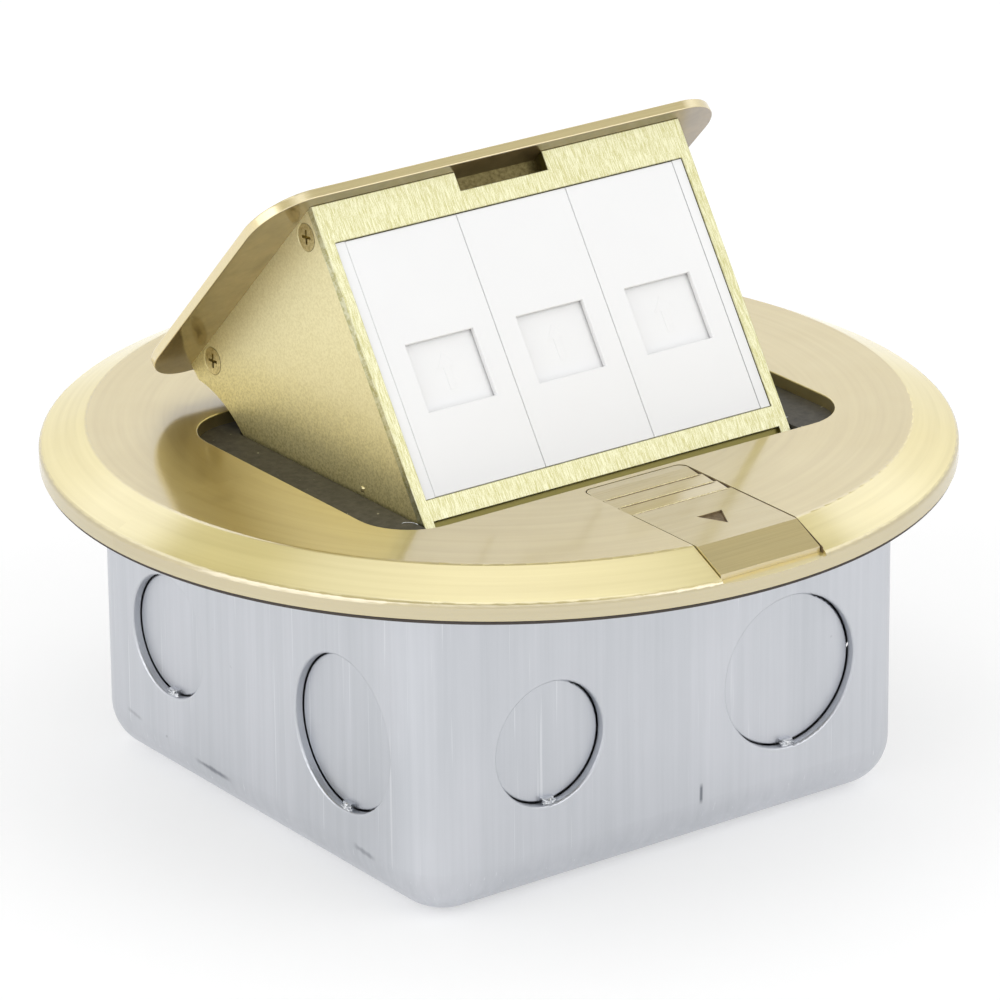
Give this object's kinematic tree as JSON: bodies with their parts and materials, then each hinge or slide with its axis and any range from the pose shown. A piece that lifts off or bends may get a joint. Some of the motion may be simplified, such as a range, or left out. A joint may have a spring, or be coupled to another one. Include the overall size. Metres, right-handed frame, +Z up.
{
  "type": "floor socket box",
  "caption": "Round bevelled floor cover on a square pressed steel box; a sprung carrier holding shuttered data jacks pops up through it and latches flush under its lid.",
  "frame": {"origin": "middle of the box's underside, on the axis of the round cover", "axes": "+Z up out of the floor, +X along the row of modules, -Y towards the user, so the modules and the latch face -Y"},
  "size_m": [0.1558, 0.1558, 0.1125],
  "materials": {
    "galvanised_box": "satin galvanised sheet",
    "gasket_rubber": "matt",
    "brass_cover": "satin, pale champagne tone",
    "brass_face": "brushed",
    "brass_cheek": "blasted",
    "screw_brass": "polished",
    "ledge_metal": "dark textured coat",
    "zinc_steel": "zinc plated",
    "spring_steel": "drawn wire",
    "white_plastic": "satin gloss",
    "jack_plastic": "matt",
    "contact_gold": "gold plated"
  },
  "bodies": {
    "base": {"back_box": "galvanised_box", "gasket": "gasket_rubber", "cover_flange": "brass_cover", "inner_frame": "ledge_metal", "hinge_bracket_left": "zinc_steel", "hinge_bracket_right": "zinc_steel", "hinge_pin_left": "zinc_steel", "hinge_pin_right": "zinc_steel", "hinge_spring_left": "spring_steel", "hinge_spring_right": "spring_steel", "frame_screws": "zinc_steel", "latch_keeper": "zinc_steel", "latch_spring": "spring_steel"},
    "latch": {"latch_slider": "brass_cover"},
    "carrier": {"lid_plate": "brass_cover", "front_frame": "brass_face", "left_cheek": "brass_cheek", "right_cheek": "brass_cheek", "top_bar": "brass_cheek", "rear_bar": "brass_cheek", "cheek_screws": "screw_brass", "lid_screws": "screw_brass", "spacer_left": "white_plastic", "spacer_right": "white_plastic", "module_plate_1": "white_plastic", "jack_body_1": "jack_plastic", "jack_contacts_1": "contact_gold", "shutter_spring_1": "spring_steel", "module_plate_2": "white_plastic", "jack_body_2": "jack_plastic", "jack_contacts_2": "contact_gold", "shutter_spring_2": "spring_steel", "module_plate_3": "white_plastic", "jack_body_3": "jack_plastic", "jack_contacts_3": "contact_gold", "shutter_spring_3": "spring_steel"},
    "shutter_1": {"shutter_1": "white_plastic"},
    "shutter_2": {"shutter_2": "white_plastic"},
    "shutter_3": {"shutter_3": "white_plastic"}
  },
  "joints": [
    {"name": "carrier_hinge", "type": "hinge", "parent": "base", "child": "carrier", "pos_m": [0, 0.0367, 0.0465], "axis": [1, 0, 0], "range_deg": [0, 46.1], "stiffness_Nm_per_rad": 0.08, "springref_deg": -148.97, "deforming": ["hinge_spring_left", "hinge_spring_right"]},
    {"name": "latch_slide", "type": "slide", "parent": "base", "child": "latch", "axis": [0, -1, 0], "range_m": [0, 0.003], "stiffness_N_per_m": 300, "springref_m": -0.004, "deforming": ["latch_spring"]},
    {"name": "shutter_1_slide", "type": "slide", "parent": "carrier", "child": "shutter_1", "axis": [0, 0.5535, 0.8328], "range_m": [0, 0.0118], "stiffness_N_per_m": 12, "springref_m": -0.004, "deforming": ["shutter_spring_1"]},
    {"name": "shutter_2_slide", "type": "slide", "parent": "carrier", "child": "shutter_2", "axis": [0, 0.5535, 0.8328], "range_m": [0, 0.0118], "stiffness_N_per_m": 12, "springref_m": -0.004, "deforming": ["shutter_spring_2"]},
    {"name": "shutter_3_slide", "type": "slide", "parent": "carrier", "child": "shutter_3", "axis": [0, 0.5535, 0.8328], "range_m": [0, 0.0118], "stiffness_N_per_m": 12, "springref_m": -0.004, "deforming": ["shutter_spring_3"]}
  ]
}
